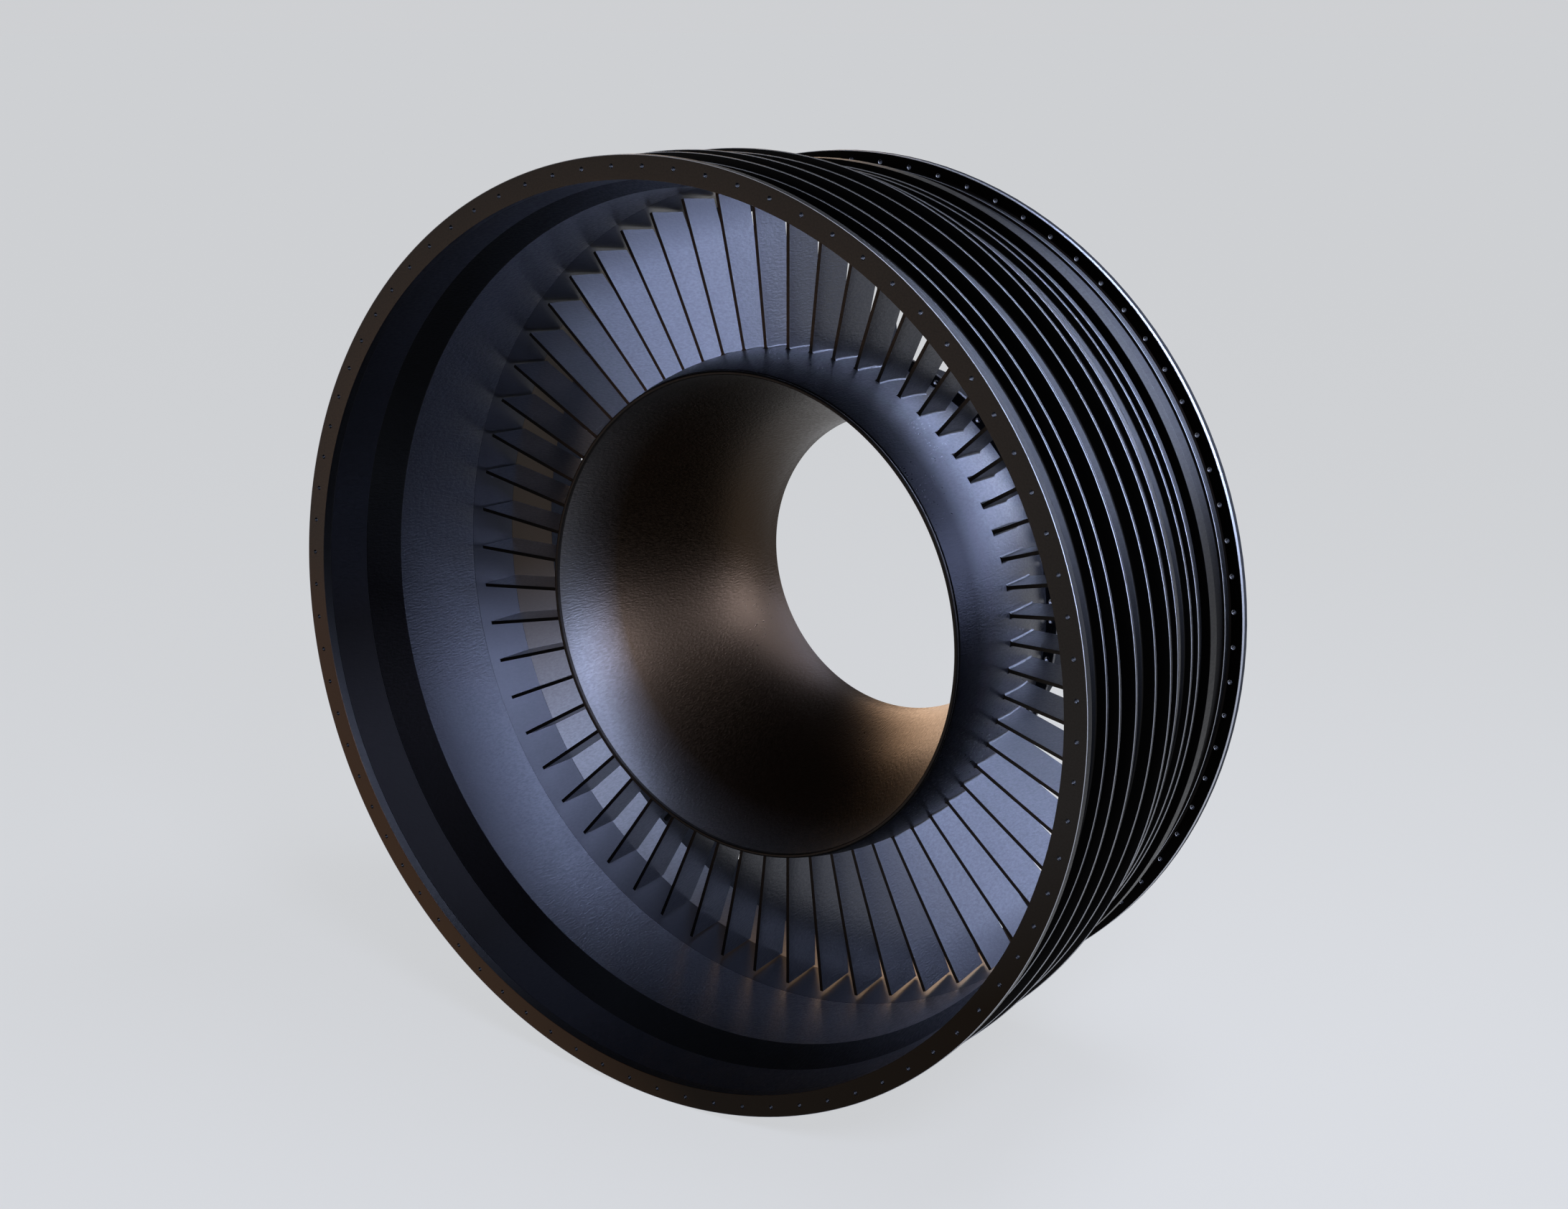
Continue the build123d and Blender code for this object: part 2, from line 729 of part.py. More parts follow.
save("shaft_bolts", screws(wheel_rear - inner_flange_thickness - nut_wall_height - 1,
                           shaft_front + shaft_flange_thickness, shaft_bolt_circle(), shaft_bolt_count))
save("shaft_nuts", shaft_nuts())
save("nut_washer", nut_washer())
save("shaft_nut", shaft_nut())
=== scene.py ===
# %% [markdown]
# # A jet engine module in Blender
#
# This lesson dresses a finished CAD model of one jet engine module: a wide ring case with thin ribs, a
# lined duct, and a wheel of flat radial blades that turns on a roller bearing. The CAD model is loaded as
# a fixed frame with the real sizes, so each new piece is written in millimetres and made in the CAD's own
# place. The engine axis is Y, the inlet faces -Y and +Z is up.

import math

import bmesh
import bpy
from mathutils import Matrix, Vector


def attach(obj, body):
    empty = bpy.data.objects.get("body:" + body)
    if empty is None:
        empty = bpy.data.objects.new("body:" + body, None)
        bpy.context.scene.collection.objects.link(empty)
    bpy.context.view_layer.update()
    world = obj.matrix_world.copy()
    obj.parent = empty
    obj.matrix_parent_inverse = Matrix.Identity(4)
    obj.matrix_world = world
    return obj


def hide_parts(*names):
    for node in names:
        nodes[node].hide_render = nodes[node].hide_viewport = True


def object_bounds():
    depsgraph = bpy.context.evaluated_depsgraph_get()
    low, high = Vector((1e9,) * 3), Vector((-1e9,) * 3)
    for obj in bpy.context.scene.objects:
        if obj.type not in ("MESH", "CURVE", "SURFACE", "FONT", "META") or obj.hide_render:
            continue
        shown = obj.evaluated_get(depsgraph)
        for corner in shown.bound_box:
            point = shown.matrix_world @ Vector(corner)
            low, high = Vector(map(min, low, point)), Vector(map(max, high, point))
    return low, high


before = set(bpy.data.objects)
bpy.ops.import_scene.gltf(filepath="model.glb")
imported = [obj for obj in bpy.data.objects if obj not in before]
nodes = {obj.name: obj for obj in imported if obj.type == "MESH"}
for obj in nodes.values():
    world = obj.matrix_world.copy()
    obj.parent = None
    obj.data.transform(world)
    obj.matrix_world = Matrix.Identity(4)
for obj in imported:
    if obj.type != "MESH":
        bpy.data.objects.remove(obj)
cad_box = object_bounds()
scene = bpy.context.scene
scene.view_settings.view_transform = "Standard"

# %% [markdown]
# ## Camera
#
# The front flange, the ribs, the hub and the throat are all circles about one axis, so their ellipses in
# the picture give the lens, the distance and the direction together. The camera stands to the right of
# the inlet and a little above the axis, and it isn't rolled.

# %% Camera
eye = Vector((1.6188, -1.9992, 0.7537))
right = Vector((0.81579, 0.57834, 0.0))
forward = Vector((-0.55844, 0.78771, -0.26009))
upward = right.cross(forward)

lens = bpy.data.cameras.new("camera")
lens.sensor_width = 36.0
lens.lens = 50.12
camera = bpy.data.objects.new("camera", lens)
axes = Matrix((right, upward, -forward)).transposed().to_4x4()
camera.matrix_world = Matrix.Translation(eye) @ axes
scene.collection.objects.link(camera)
scene.camera = camera
print(f"camera: {lens.lens:.2f} mm lens, {eye.length:.3f} m from the inlet's centre")

# %% [markdown]
# ## Floor
#
# The module stands on a plain pale floor, as in a photo studio. One large flat face is enough. It lies
# half a millimetre under the module, so that the two surfaces don't flicker into each other.

# %% Floor


def link(mesh, name):
    """Puts a mesh in the scene as an object at the origin."""
    piece = bpy.data.objects.new(name, mesh)
    scene.collection.objects.link(piece)
    return piece


floor_gap, floor_reach = 0.0005, 150.0
floor_height = cad_box[0].z - floor_gap
floor_mesh = bpy.data.meshes.new("studio_floor")
corners = [(x * floor_reach, y * floor_reach, floor_height) for x, y in ((-1, -1), (1, -1), (1, 1), (-1, 1))]
floor_mesh.from_pydata(corners, [], [(0, 1, 2, 3)])
floor = link(floor_mesh, "studio_floor")
print(f"floor at {floor_height:.4f} m")

# %% [markdown]
# ## Lamps
#
# Bare metal shows its surroundings more than its own colour, so the lamps are soft panels. Two large cool
# ones stand to the right and behind. Their light reaches the duct and the blades as if the case weren't
# in its way, so they cast no shadow. Multiple importance sampling is off for them too. With it on, part
# of each highlight is left to reflected rays that have to reach the panel, and the case stops those, so
# the highlights turn dim.
#
# Two small cool panels stand in front and overhead, and they give the shadow on the floor. Two warm ones
# on the left give the brown glints. The large and the warm panels would stain the floor, so light linking
# keeps them off it: they light everything but one excluded object.

# %% Lamps
wheel = Vector((0.0, 0.2, 0.0))
all_but_floor = bpy.data.collections.new("all_but_floor")
all_but_floor.objects.link(floor)
all_but_floor.collection_objects[0].light_linking.link_state = "EXCLUDE"


def panel(name, place, size, power, colour, shadow=True, on_floor=True):
    """One soft lamp of size (width, height) in metres that faces the wheel. The camera doesn't see it."""
    light = bpy.data.lights.new(name, "AREA")
    light.shape = "RECTANGLE"
    light.size, light.size_y = size
    light.energy, light.color = power, colour
    light.use_shadow = shadow
    light.cycles.use_multiple_importance_sampling = shadow
    lamp = bpy.data.objects.new(name, light)
    lamp.location = place
    lamp.rotation_mode = "QUATERNION"
    lamp.rotation_quaternion = (wheel - Vector(place)).to_track_quat("-Z", "Y")
    lamp.visible_camera = False
    if not on_floor:
        lamp.light_linking.receiver_collection = all_but_floor
    scene.collection.objects.link(lamp)
    print(f"{name}: {power:g} W, {(wheel - Vector(place)).length:.2f} m from the wheel")


cool_blue = (0.56, 0.67, 1.0)
panel("cool_side", (4.12, 1.86, 1.19), (2.0, 2.2), 190.0, cool_blue, shadow=False, on_floor=False)
panel("cool_rear", (2.03, 3.72, 2.16), (4.4, 3.4), 230.0, cool_blue, shadow=False, on_floor=False)
panel("cool_key", (1.9, -1.3, 1.6), (0.8, 0.8), 34.0, (0.72, 0.79, 1.0))
panel("cool_top", (0.9, 0.5, 2.4), (1.0, 1.0), 30.0, (0.8, 0.86, 1.0))
panel("warm_rear", (-2.1, 2.1, 0.3), (2.4, 1.6), 25.0, (1.0, 0.58, 0.28), on_floor=False)
panel("warm_low", (-2.0, -2.2, -0.3), (0.8, 0.4), 6.0, (1.0, 0.5, 0.22), on_floor=False)

# %% [markdown]
# ## Shader maths as plain expressions
#
# A shader is a small calculation. Wired by hand it takes many lines, so one class wraps a socket and lets
# Python's own operators add the Math nodes. An expression such as `1 - mask` then reads as on paper.
# Every other node comes from one method that takes the node's type, its settings and its inputs.

# %% Sockets with operators


class Wire:
    """A shader value. Arithmetic on it adds Math nodes to its tree."""

    def __init__(self, tree, socket=None):
        self.tree, self.socket = tree, socket

    def node(self, kind, settings=None, inputs=None, output=0):
        """Adds a node, sets it up, feeds its inputs and gives one of its outputs."""
        made = self.tree.nodes.new(kind)
        for key, value in (settings or {}).items():
            setattr(made, key, value)
        for key, value in (inputs or {}).items():
            if isinstance(value, Wire):
                self.tree.links.new(value.socket, made.inputs[key])
            elif isinstance(value, tuple) and made.inputs[key].type == "RGBA":
                made.inputs[key].default_value = (*value, 1.0)
            else:
                made.inputs[key].default_value = value
        return Wire(self.tree, made.outputs[output]) if made.outputs else None

    def maths(self, operation, *values):
        """A Math node with its values in order."""
        return self.node("ShaderNodeMath", {"operation": operation}, dict(enumerate(values)))

    def __add__(self, other):
        return self.maths("ADD", self, other)

    def __sub__(self, other):
        return self.maths("SUBTRACT", self, other)

    def __rsub__(self, other):
        return self.maths("SUBTRACT", other, self)

    def __mul__(self, other):
        return self.maths("MULTIPLY", self, other)

    __radd__, __rmul__ = __add__, __mul__

    def between(self, low, high):
        """0 up to low, 1 from high, and a straight ramp in between."""
        limits = {"Value": self, "From Min": low, "From Max": high}
        return self.node("ShaderNodeMapRange", {"clamp": True}, limits)

    def mixed(self, first, second):
        """A colour between two others, with this value as the share of the second. A Mix node has its own
        sockets for each kind of value: for colours, inputs 6 and 7 and output 2."""
        return self.node("ShaderNodeMix", {"data_type": "RGBA"}, {0: self, 6: first, 7: second}, 2)


# %% [markdown]
# ## World
#
# The world is the studio round the module: a pale wall, lit up to a low height, and a dark ceiling. The
# camera sees only the wall. The metal mirrors both, so turned surfaces get soft changes from light to
# dark instead of one flat tone, and what faces up stays dark.

# %% World
world = bpy.data.worlds.new("studio")
scene.world = world
world.use_nodes = True
world.node_tree.nodes.clear()
lit_height, dark_height = 0.2, 0.6
pale_wall, dark_ceiling = (0.62, 0.63, 0.65), (0.05, 0.052, 0.06)

sky = Wire(world.node_tree)
direction = sky.node("ShaderNodeTexCoord", output="Generated")
height = sky.node("ShaderNodeSeparateXYZ", inputs={0: direction}, output=2)
lit = 1 - height.between(lit_height, dark_height)
tone = lit.mixed(dark_ceiling, pale_wall)
backdrop = sky.node("ShaderNodeBackground", inputs={"Color": tone, "Strength": 1.0})
sky.node("ShaderNodeOutputWorld", inputs={"Surface": backdrop})
print(f"world: pale below {lit_height}, dark above {dark_height}")

# %% [markdown]
# ## Floor finish
#
# The floor is matt paper that takes the module's shadow. To the camera, and in mirrors and glass, it also
# glows a little in the backdrop's tone, so that floor and backdrop meet without a line. Matt surfaces get
# no light from it.

# %% Floor finish
paper = bpy.data.materials.new("studio_paper")
paper.use_nodes = True
paper.node_tree.nodes.clear()
paper_colour, glow_colour, glow_share = (0.74, 0.745, 0.76), (0.816, 0.832, 0.857), 0.72

sheet = Wire(paper.node_tree)
matt = sheet.node("ShaderNodeBsdfDiffuse", inputs={"Color": paper_colour})
glow = sheet.node("ShaderNodeEmission", inputs={"Color": glow_colour, "Strength": 1.0})
seen = sheet.node("ShaderNodeLightPath", output="Is Camera Ray")
mirrored = sheet.node("ShaderNodeLightPath", output="Is Glossy Ray")
clear = sheet.node("ShaderNodeLightPath", output="Is Transmission Ray")
share = sheet.maths("MINIMUM", seen + mirrored + clear, 1.0) * glow_share
both = sheet.node("ShaderNodeMixShader", inputs={0: share, 1: matt, 2: glow})
sheet.node("ShaderNodeOutputMaterial", inputs={"Surface": both})
floor_mesh.materials.append(paper)
print(f"floor: {glow_share:.0%} glow where it is seen or mirrored")

# %% [markdown]
# ## The metal recipe
#
# All the metal here was turned, ground or spun, so every finish shares one recipe. Its grain is noise
# squeezed into short streaks along the engine axis, about two millimetres wide and eight long. The grain
# lifts and lowers the surface a little, changes its roughness, and shades its colour. A second, cloudy
# noise stands for handling: faint patches that are duller than the rest.
#
# Some places are darker or browner than others. Every fade in this script is painted shade or painted
# light, kept in the colour as if it were stain. A fade brings in another colour by place: along a
# direction, or by distance from the axis. It reads the piece's own coordinates, so it stays on the metal
# from any side. Dark paint uses the same grain, but it isn't a metal and mirrors little.

# %% The metal recipe
streaks_per_metre, clouds_per_metre = (420.0, 130.0, 420.0), 3.0
streak_share = 0.6
bump_height = 0.00025


def cloudy(wire, place, scale, rough, low, high):
    """Noise on a place, stretched so that low gives 0 and high gives 1."""
    inputs = {"Vector": place, "Scale": scale, "Detail": 2.0, "Roughness": rough}
    return wire.node("ShaderNodeTexNoise", inputs=inputs).between(low, high)


# faded paints shade and light into a colour by place.
def faded(wire, place, shade, painted_light_fades):
    """Fades a colour into others by place. Each fade names a direction, the two distances in metres along
    it between which the new colour comes in, and that colour. With no direction, the distance is from the
    axis."""
    for direction, low, high, colour in painted_light_fades:
        if direction:
            pair = {0: place, 1: direction}
            far = wire.node("ShaderNodeVectorMath", {"operation": "DOT_PRODUCT"}, pair, "Value")
        else:
            flat = wire.node("ShaderNodeVectorMath", {"operation": "MULTIPLY"}, {0: place, 1: (1, 0, 1)})
            far = wire.node("ShaderNodeVectorMath", {"operation": "LENGTH"}, {0: flat}, "Value")
        shade = far.between(low, high).mixed(shade, colour)
    return shade


def metal(name, colour, dull, roughness, grain=0.3, mottle=0.12, painted_light_fades=()):
    """A bare metal between two close colours. grain is the strength of its relief, and mottle is how far
    its roughness swings about the mean."""
    finish = bpy.data.materials.new(name)
    finish.use_nodes = True
    tree = finish.node_tree
    shader = tree.nodes["Principled BSDF"]
    wire = Wire(tree)
    place = wire.node("ShaderNodeTexCoord", output="Object")
    squeezed = wire.node("ShaderNodeMapping", inputs={"Vector": place, "Scale": streaks_per_metre})
    streaks = cloudy(wire, squeezed, scale=1.0, rough=0.6, low=0.32, high=0.68)
    patches = cloudy(wire, place, scale=clouds_per_metre, rough=0.5, low=0.3, high=0.75)
    dullness = streaks * streak_share + patches * (1 - streak_share)
    shade = faded(wire, place, dullness.mixed(colour, dull), painted_light_fades)
    patch_swing = mottle * 0.5
    mean_swing = (mottle + patch_swing) * 0.5
    rough = streaks * mottle + patches * patch_swing + (roughness - mean_swing)
    bump = wire.node("ShaderNodeBump", inputs={"Strength": grain, "Distance": bump_height, "Height": streaks})
    tree.links.new(shade.socket, shader.inputs["Base Color"])
    tree.links.new(rough.socket, shader.inputs["Roughness"])
    tree.links.new(bump.socket, shader.inputs["Normal"])
    shader.inputs["Metallic"].default_value = 1.0
    return finish


def paint_over(finish, gloss):
    """Makes a finish a paint instead of bare metal. gloss is how much its surface mirrors."""
    shader = finish.node_tree.nodes["Principled BSDF"]
    shader.inputs["Metallic"].default_value = 0.0
    shader.inputs["Specular IOR Level"].default_value = gloss


print(f"grain: {1000 / streaks_per_metre[0]:.1f} mm wide, {1000 / streaks_per_metre[1]:.1f} mm long")

# %% [markdown]
# ## Finishes of the case
#
# The case is nearly black, and a much brighter metal on its rib corners and flange rims is a painted
# highlight. The skin darkens behind the rear ribs as painted shade. The flange gets painted shade at the
# bottom and painted warm light at its lower left. The rings of the duct go from a blue-grey land over a
# black ramp to a pale duct, and these three darken towards the low side as painted shade. The ring behind
# the blades gets brown painted shade at the upper left.

# %% Finishes of the case
to_front, to_rear = (0, -1, 0), (0, 1, 0)
upper_left, lower_left, bottom = (-0.7, 0.0, 0.7), (-0.7, 0.0, -0.7), (0.4, 0, -0.9)
low_side, low_front = (-0.866, 0.0, -0.5), (-0.866, -0.8, -0.5)

# The skin's fade is painted shade: it darkens the skin from just behind the rear ribs to the rear.
case_skin = metal("case_skin", (0.015, 0.0145, 0.0145), (0.0105, 0.01, 0.01), 0.42, grain=0.1, mottle=0.08,
                  painted_light_fades=[(to_rear, 0.34, 0.366, (0.005, 0.0042, 0.0038))])
# This much brighter metal on the rib corners and flange rims is a painted highlight, seen as thin bright
# lines.
rim_highlight_steel = metal("rim_highlight_steel", (0.46, 0.475, 0.52), (0.38, 0.39, 0.44), 0.4, grain=0.03, mottle=0.05)
# The flange's fades are painted light: painted shade at the bottom, then painted warm light at its lower
# left.
flange_steel = metal("flange_steel", (0.027, 0.0245, 0.0225), (0.0215, 0.0195, 0.018), 0.42, grain=0.08,
                     painted_light_fades=[(bottom, 0.3, 0.5, (0.011, 0.0075, 0.005)),
                            (lower_left, 0.36, 0.6, (0.05, 0.026, 0.013))])
# Painted shade: the inlet lining darkens towards the low side.
inlet_steel = metal("inlet_steel", (0.02, 0.02, 0.0245), (0.014, 0.014, 0.017), 0.46, grain=0.2,
                    painted_light_fades=[(low_side, 0.42, 0.52, (0.0045, 0.004, 0.004))])
# Painted shade: the exit lining turns darker and brown towards the upper left.
exit_steel = metal("exit_steel", (0.1, 0.098, 0.1), (0.07, 0.068, 0.07), 0.4, grain=0.15, mottle=0.08,
                   painted_light_fades=[(upper_left, 0.1, 0.36, (0.03, 0.021, 0.014))])
# Painted shade: the ramp darkens further towards the low side.
ramp_black = metal("ramp_black", (0.014, 0.014, 0.014), (0.009, 0.009, 0.009), 0.5, grain=0.5,
                   painted_light_fades=[(low_side, 0.4, 0.5, (0.0025, 0.0022, 0.0022))])
# Painted shade: the duct lining darkens towards its low front.
duct_steel = metal("duct_steel", (0.052, 0.053, 0.06), (0.032, 0.0325, 0.038), 0.36, grain=0.8,
                   painted_light_fades=[(low_front, 0.33, 0.44, (0.013, 0.013, 0.015))])
shroud_steel = metal("shroud_steel", (0.034, 0.034, 0.038), (0.028, 0.028, 0.032), 0.34, grain=0.1,
                     mottle=0.05)
case_finishes = [case_skin, rim_highlight_steel, flange_steel]
print("case finishes:", [finish.name for finish in case_finishes])

# %% [markdown]
# ## Finishes of the wheel
#
# Hub and blades are nearly the same fine ground steel. The hub darkens towards its lip and the blades
# towards their tips, as painted shade, by place along the axis and by distance from it, so these fades
# turn with the wheel unchanged. The bowl turns darker and brown towards its throat as painted shade. The
# edges of the blades and the bowl's bead are almost black, also as painted shade.

# %% Finishes of the wheel
from_axis = None
# Painted shade: the hub darkens towards its lip at the front.
hub_steel = metal("hub_steel", (0.075, 0.076, 0.086), (0.052, 0.052, 0.06), 0.34, grain=0.5,
                  painted_light_fades=[(to_front, -0.295, -0.23, (0.01, 0.01, 0.012))])
# Painted shade: the blades darken towards their tips, by distance from the axis.
blade_steel = metal("blade_steel", (0.07, 0.071, 0.08), (0.046, 0.047, 0.054), 0.34, grain=0.5, mottle=0.08,
                    painted_light_fades=[(from_axis, 0.49, 0.54, (0.028, 0.028, 0.032))])
# This almost black metal on the blade edges and the bowl's bead is painted shade.
edge_shade_black = metal("edge_shade_black", (0.02, 0.017, 0.015), (0.013, 0.011, 0.01), 0.45, grain=0.1)
# Painted shade: the bowl turns darker and brown towards its throat.
bowl_steel = metal("bowl_steel", (0.105, 0.102, 0.104), (0.075, 0.072, 0.072), 0.36, grain=0.55,
                   painted_light_fades=[(to_rear, 0.215, 0.3, (0.034, 0.0215, 0.0125))])
screw_steel = metal("screw_steel", (0.24, 0.24, 0.26), (0.16, 0.16, 0.18), 0.4, grain=0.1)
wheel_finishes = [hub_steel, blade_steel, edge_shade_black, bowl_steel, screw_steel]
print("wheel finishes:", [finish.name for finish in wheel_finishes])

# %% [markdown]
# ## Carried-over pieces
#
# The frame, the shaft, the nuts and the bearing stand behind the wheel. They are turned or drilled forms
# that are already right in the CAD model, so they keep its meshes and only need their finish: dark paint
# on the frame and the bearing's housing, turned steel on the shaft, ground steel on the bearing's races
# and rollers, and bronze on its cage and its seal. The screws get new meshes further on.

# %% Finishes of the carried-over pieces
frame_paint = metal("frame_paint", (0.016, 0.016, 0.017), (0.011, 0.011, 0.012), 0.75, grain=0.3)
paint_over(frame_paint, gloss=0.1)
shaft_steel = metal("shaft_steel", (0.3, 0.3, 0.34), (0.24, 0.24, 0.27), 0.4, grain=0.12)
ground_steel = metal("ground_steel", (0.6, 0.6, 0.64), (0.52, 0.52, 0.56), 0.3, grain=0.05, mottle=0.05)
seal_bronze = metal("seal_bronze", (0.45, 0.3, 0.14), (0.34, 0.22, 0.1), 0.38, grain=0.2)

kept = {
    "exit_frame": frame_paint, "bearing_housing": frame_paint, "bearing_cover": frame_paint,
    "stub_shaft": shaft_steel, "shaft_nut": screw_steel, "nut_washer": screw_steel,
    "shaft_nuts": screw_steel, "labyrinth_seal": seal_bronze, "bearing_cage": seal_bronze,
    "bearing_outer_race": ground_steel, "bearing_inner_race": ground_steel,
    "bearing_rollers": ground_steel,
}
for name, finish in kept.items():
    nodes[name].data.materials.clear()
    nodes[name].data.materials.append(finish)
print("carried over:", len(kept))

# %% [markdown]
# ## Turned rings
#
# Most of this module was made on a lathe: a half section turned about the axis. The CAD meshes of such
# rings have few sides and razor edges. Here the half section is written out again, each corner gets a
# tiny arc, and the section is swept round in 240 steps. Real edges are never perfectly sharp, and that
# arc is what catches the light as a thin bright line. The steps start half a step from the top, where the
# drilled plates made further on have their corners.

# %% Rounded sections and the lathe
mm = 0.001
sides = 240
nearly_straight, edge_share = 2.9, 0.4


def rounded(section, radius, steps=3):
    """Rounds the corners of a closed half section of (radius, place) points, in millimetres. A corner
    flatter than nearly_straight, in radians, stays, and an arc takes at most edge_share of each edge."""
    points = [Vector(p) for p in section]
    smooth = []
    for i, corner in enumerate(points):
        back, ahead = points[i - 1] - corner, points[(i + 1) % len(points)] - corner
        angle = back.angle(ahead)
        if angle > nearly_straight:
            smooth.append(corner)
            continue
        cut = min(radius / math.tan(angle / 2), back.length * edge_share, ahead.length * edge_share)
        first, last = corner + back.normalized() * cut, corner + ahead.normalized() * cut
        for k in range(steps + 1):
            t = k / steps
            smooth.append(first * (1 - t) ** 2 + corner * (2 * t * (1 - t)) + last * t ** 2)
    return smooth


def at(radius, place, turn):
    """The point at a radius and an axial place, turned from the top towards +X. Sizes in millimetres."""
    return Vector((radius * math.sin(turn), place, radius * math.cos(turn))) * mm


def turned(section, gaps=(), finish_of=None):
    """A shape swept round the axis from a closed half section. Spans whose middle lies in a gap stay open."""
    shape = bmesh.new()
    step_turn = math.tau / sides
    rings = [[shape.verts.new(at(r, y, step_turn * (k + 0.5))) for r, y in section] for k in range(sides)]
    count = len(section)
    for j in range(count):
        middle = (Vector(section[j]) + Vector(section[(j + 1) % count])) / 2
        if any(low[0] < middle.x < high[0] and low[1] < middle.y < high[1] for low, high in gaps):
            continue
        for k in range(sides):
            a, b = rings[k], rings[(k + 1) % sides]
            face = shape.faces.new((a[j], a[(j + 1) % count], b[(j + 1) % count], b[j]))
            if finish_of:
                face.material_index = finish_of(middle.x, middle.y)
    return shape


print(f"lathe: {sides} steps of {360 / sides:g} degrees")

# %% [markdown]
# ## From a shape to a piece
#
# Every piece ends the same way. Doubled points are welded, normals are turned outwards, and edges sharper
# than a given angle stay crisp while the rest is shaded smooth. Weighted normals keep large flat faces
# flat beside their small arcs. The result is baked into a plain mesh, which then rides on its body and
# takes the place of its CAD node.

# %% Finishing a piece
weld_distance = 0.00001


def plain_mesh(piece):
    """A new mesh with the piece's modifiers worked out."""
    graph = bpy.context.evaluated_depsgraph_get()
    return bpy.data.meshes.new_from_object(piece.evaluated_get(graph))


def finished(shape, name, finishes, body, replaced, sharp=35.0):
    """Turns the built shape into a smooth-shaded piece that rides on its body. sharp is in degrees."""
    bmesh.ops.remove_doubles(shape, verts=shape.verts, dist=weld_distance)
    bmesh.ops.recalc_face_normals(shape, faces=shape.faces)
    mesh = bpy.data.meshes.new(name)
    shape.to_mesh(mesh)
    shape.free()
    mesh.shade_smooth()
    mesh.set_sharp_from_angle(angle=math.radians(sharp))
    for finish in finishes:
        mesh.materials.append(finish)
    piece = link(mesh, name)
    weights = piece.modifiers.new("weights", "WEIGHTED_NORMAL")
    weights.keep_sharp = True
    baked = plain_mesh(piece)
    piece.modifiers.clear()
    piece.data = baked
    bpy.data.meshes.remove(mesh)
    baked.name = name
    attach(piece, body)
    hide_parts(*replaced)
    print(f"{name}: {sum(len(p.vertices) - 2 for p in baked.polygons)} triangles")


# %% [markdown]
# ## Duct rings
#
# The case is lined with rings that butt against each other. Their rounded corners meet in fine grooves,
# which are the thin circles that part the tones of the duct: blue-grey land, black ramp, pale duct,
# smooth tip ring. Each ring is a straight or tapered bore inside a cylinder, so one function writes all
# five sections.

# %% Duct rings
flange_depth, land_end, ramp_end, duct_end, shroud_end, case_rear = 14.0, 79.0, 131.5, 279.0, 355.0, 443.5
inlet_bore, land_bore, duct_bore, exit_bore = 571.0, 569.0, 555.0, 547.5
front_wall, middle_wall, rear_wall = 575.0, 570.0, 561.0
lining_play, lining_corner = 0.1, 0.4


def lining(front, rear, front_bore, rear_bore, wall):
    """Half section of one lining ring, from its bore to just short of the case wall."""
    outer = wall - lining_play
    return [(front_bore, front), (outer, front), (outer, rear), (rear_bore, rear)]


for name, node, finish, slot, section in [
        ("inlet_lining", "inlet_liner", inlet_steel, "liner_metal",
         lining(flange_depth, land_end, inlet_bore, land_bore, front_wall)),
        ("black_ramp", "ramp_ring", ramp_black, "ramp_coating",
         lining(land_end, ramp_end, land_bore, duct_bore, front_wall)),
        ("duct_lining", "duct_liner", duct_steel, "liner_metal",
         lining(ramp_end, duct_end, duct_bore, duct_bore, middle_wall)),
        ("tip_lining", "tip_shroud", shroud_steel, "liner_metal",
         lining(duct_end, shroud_end, duct_bore, exit_bore, rear_wall)),
        ("exit_lining", "exit_liner", exit_steel, "liner_metal",
         lining(shroud_end, case_rear, exit_bore, exit_bore, rear_wall))]:
    finished(turned(rounded(section, lining_corner)), name, [finish], "case", [node])

# %% [markdown]
# ## Copies round the axis
#
# Holes, screws and blades repeat at equal angles. One Geometry Nodes tree makes every such ring: it puts
# a point for each copy on the axis, turns it by its share of the circle, sets the piece on it, and makes
# the copies real. The angle of the first copy, the count, the piece and its finish are the tree's named
# inputs.

# %% The ring tree
ring_tree = bpy.data.node_groups.new("ring_of_copies", "GeometryNodeTree")
socket = {}
for label, kind in (("Piece", "Object"), ("Count", "Int"), ("First turn", "Float"), ("Finish", "Material")):
    made = ring_tree.interface.new_socket(label, in_out="INPUT", socket_type=f"NodeSocket{kind}")
    socket[label] = made.identifier
ring_tree.interface.new_socket("Ring", in_out="OUTPUT", socket_type="NodeSocketGeometry")
given = ring_tree.nodes.new("NodeGroupInput").outputs
result = ring_tree.nodes.new("NodeGroupOutput").inputs


def step(kind, inputs=None, **settings):
    """Adds a geometry node with its settings and its inputs, which are values or outputs of other nodes."""
    made = ring_tree.nodes.new(kind)
    for key, value in settings.items():
        setattr(made, key, value)
    for key, value in (inputs or {}).items():
        if isinstance(value, bpy.types.NodeSocket):
            ring_tree.links.new(value, made.inputs[key])
        else:
            made.inputs[key].default_value = value
    return made.outputs


